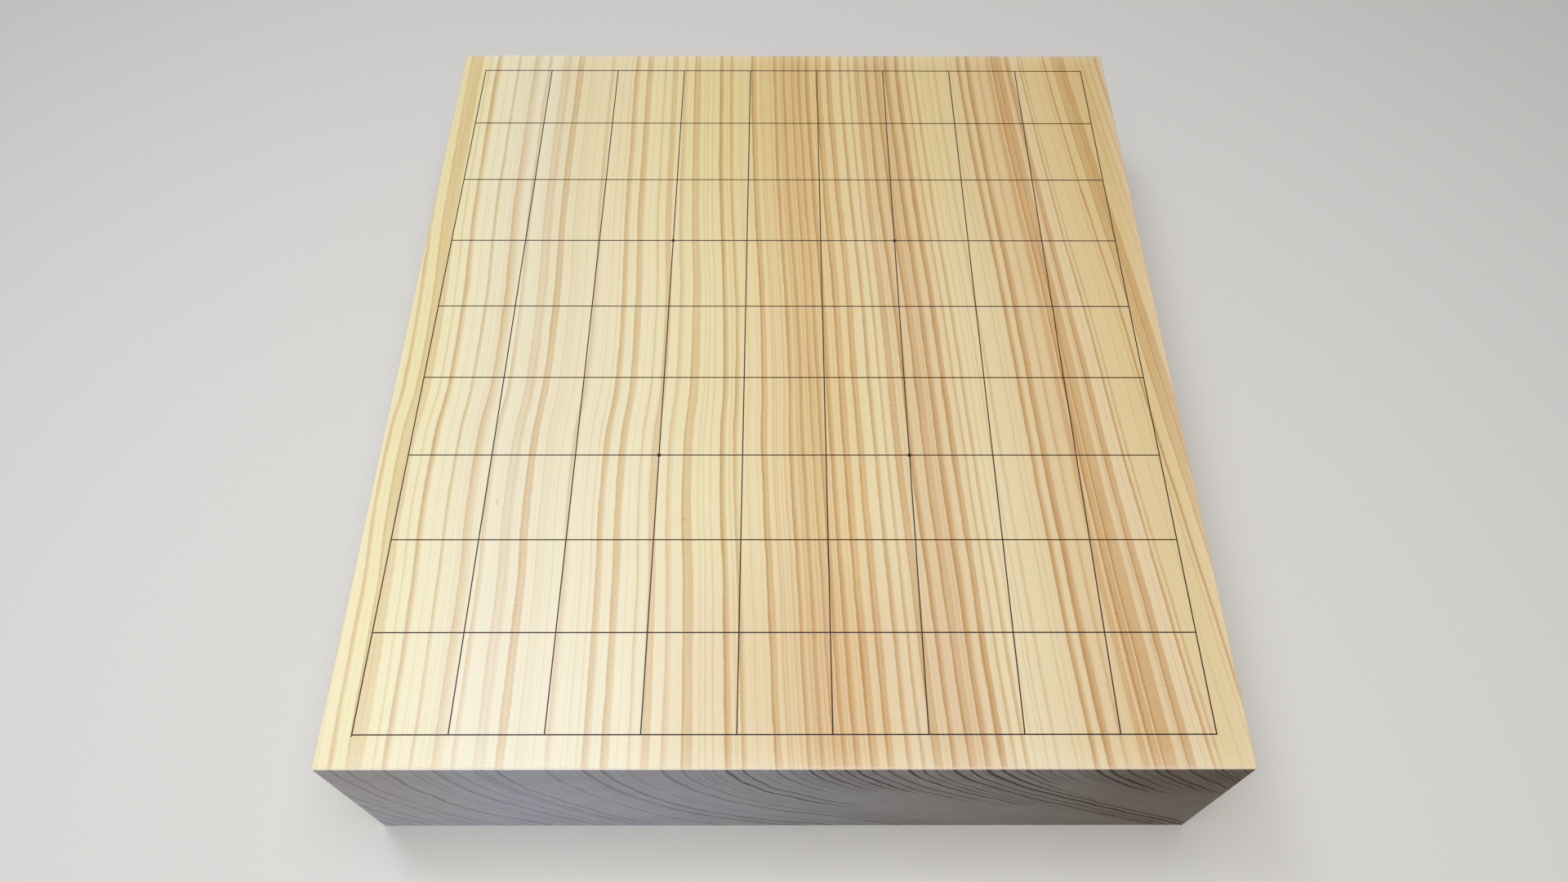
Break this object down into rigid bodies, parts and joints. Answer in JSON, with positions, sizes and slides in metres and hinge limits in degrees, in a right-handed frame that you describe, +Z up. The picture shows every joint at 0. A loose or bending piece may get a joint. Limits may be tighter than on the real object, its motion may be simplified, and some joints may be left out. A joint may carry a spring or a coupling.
{
  "type": "tabletop shogi board",
  "caption": "Thick solid wood game board with eased edges, a raised lacquer grid of squares on top and small domed dots at the promotion corners.",
  "frame": {"origin": "middle of the underside, on the surface that the board stands on", "axes": "+X to the near player's right across the board, +Y along the board away from the near player, +Z up"},
  "size_m": [0.338, 0.374, 0.0904],
  "materials": {
    "wood": "satin",
    "line_lacquer": "satin",
    "dot_lacquer": "gloss"
  },
  "bodies": {
    "root": {"board_slab": "wood", "file_line_1": "line_lacquer", "file_line_2": "line_lacquer", "file_line_3": "line_lacquer", "file_line_4": "line_lacquer", "file_line_5": "line_lacquer", "file_line_6": "line_lacquer", "file_line_7": "line_lacquer", "file_line_8": "line_lacquer", "file_line_9": "line_lacquer", "file_line_10": "line_lacquer", "rank_line_1": "line_lacquer", "rank_line_2": "line_lacquer", "rank_line_3": "line_lacquer", "rank_line_4": "line_lacquer", "rank_line_5": "line_lacquer", "rank_line_6": "line_lacquer", "rank_line_7": "line_lacquer", "rank_line_8": "line_lacquer", "rank_line_9": "line_lacquer", "rank_line_10": "line_lacquer", "star_point_near_left": "dot_lacquer", "star_point_near_right": "dot_lacquer", "star_point_far_left": "dot_lacquer", "star_point_far_right": "dot_lacquer"}
  },
  "joints": []
}
